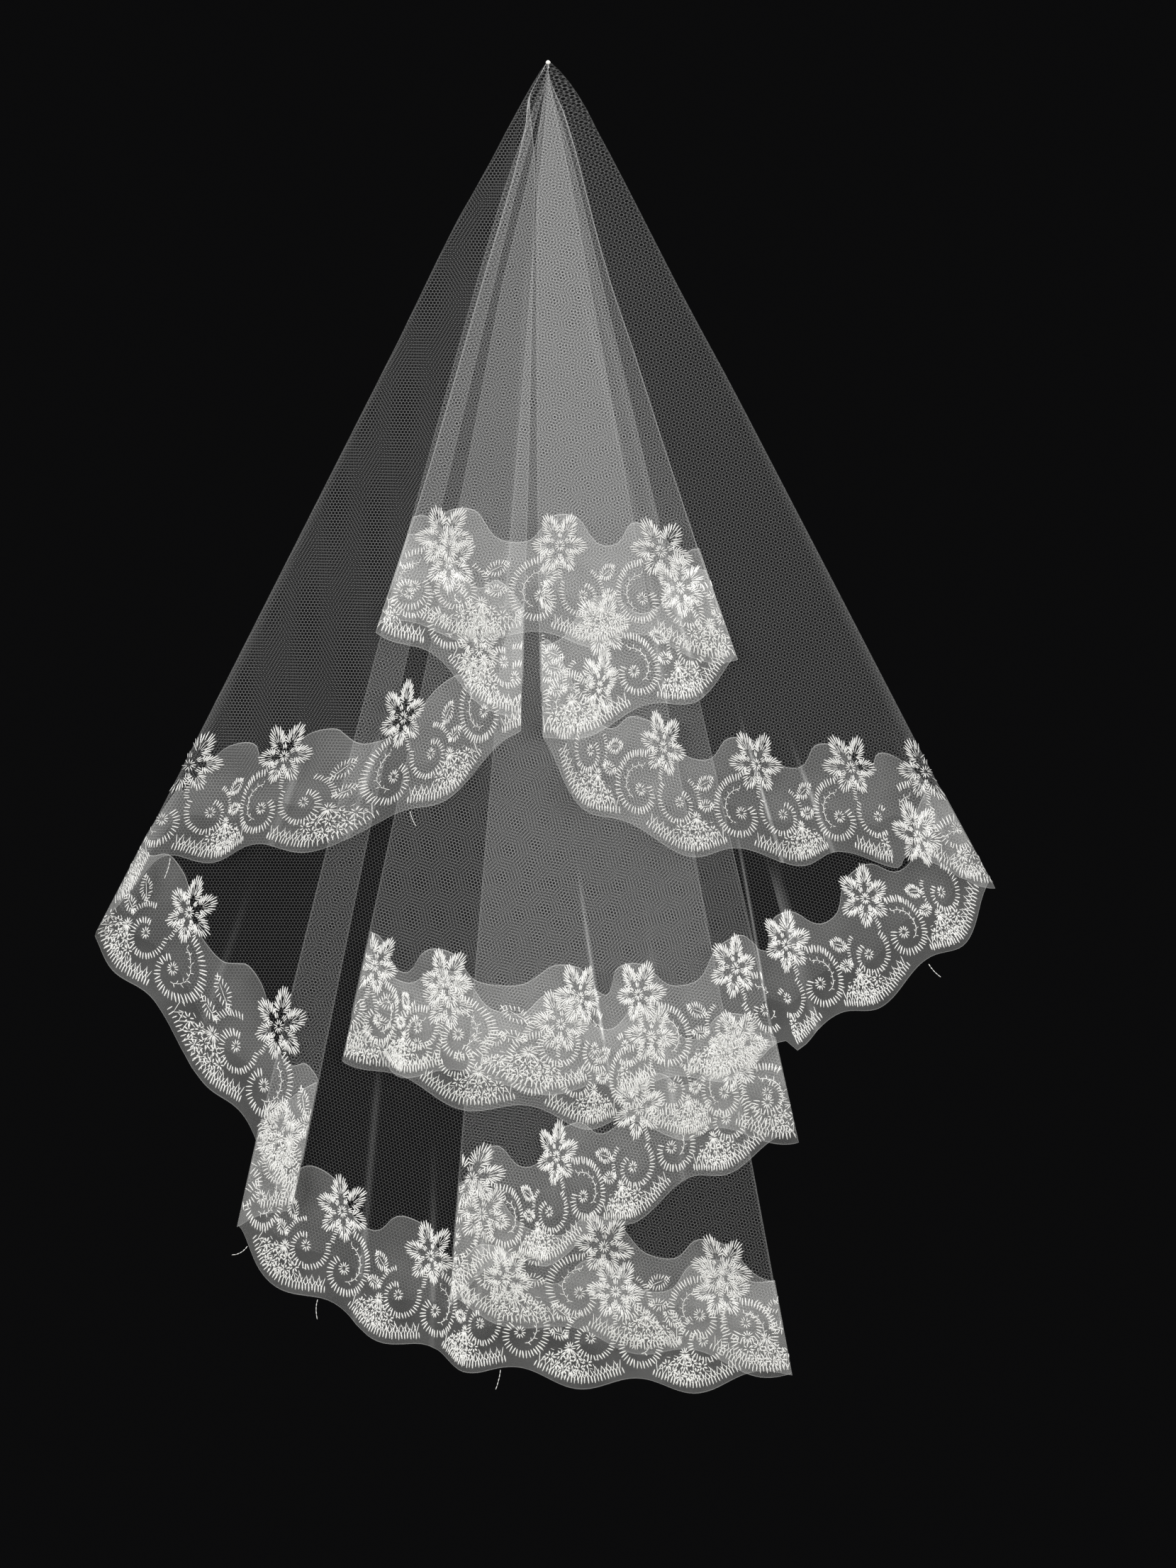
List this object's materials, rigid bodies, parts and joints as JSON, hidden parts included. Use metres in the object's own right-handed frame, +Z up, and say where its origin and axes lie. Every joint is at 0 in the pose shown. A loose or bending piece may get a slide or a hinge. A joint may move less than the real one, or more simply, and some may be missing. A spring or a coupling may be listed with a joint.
{
  "type": "bridal veil hung on a ball-head pin",
  "caption": "Round tulle bridal veil with a scalloped flower-and-scroll lace edging, hung in fan folds from one point on a ball-head pin.",
  "frame": {"origin": "the point where the pin enters the wall, on the wall's face", "axes": "+Z up, +X to the viewer's right, +Y into the wall along the pin, so the veil hangs on the -Y side"},
  "size_m": [0.6988, 0.064, 1.0409],
  "materials": {
    "soft_tulle": "fine hexagonal nylon net, soft and see-through",
    "embroidered_net": "fine net ground with glossy white rayon embroidery",
    "pin_steel": "polished wire",
    "pearl_head": "pearl lacquer over a plastic ball"
  },
  "bodies": {
    "root": {"tulle_front_flap": "soft_tulle", "tulle_right_tuck": "soft_tulle", "tulle_right_wing": "soft_tulle", "tulle_right_wing_back": "soft_tulle", "tulle_middle_sheet": "soft_tulle", "tulle_middle_return": "soft_tulle", "tulle_lower_sheet": "soft_tulle", "tulle_lower_return": "soft_tulle", "tulle_train": "soft_tulle", "tulle_train_strip": "soft_tulle", "tulle_left_wing_back": "soft_tulle", "tulle_left_wing": "soft_tulle", "tulle_left_tuck": "soft_tulle", "lace_front_flap": "embroidered_net", "lace_right_tuck": "embroidered_net", "lace_right_wing": "embroidered_net", "lace_right_wing_back": "embroidered_net", "lace_middle_sheet": "embroidered_net", "lace_middle_return": "embroidered_net", "lace_lower_sheet": "embroidered_net", "lace_lower_return": "embroidered_net", "lace_train": "embroidered_net", "lace_train_strip": "embroidered_net", "lace_left_wing_back": "embroidered_net", "lace_left_wing": "embroidered_net", "lace_left_tuck": "embroidered_net", "gathered_tip": "soft_tulle", "pin_shaft": "pin_steel", "pin_head": "pearl_head"}
  },
  "joints": []
}
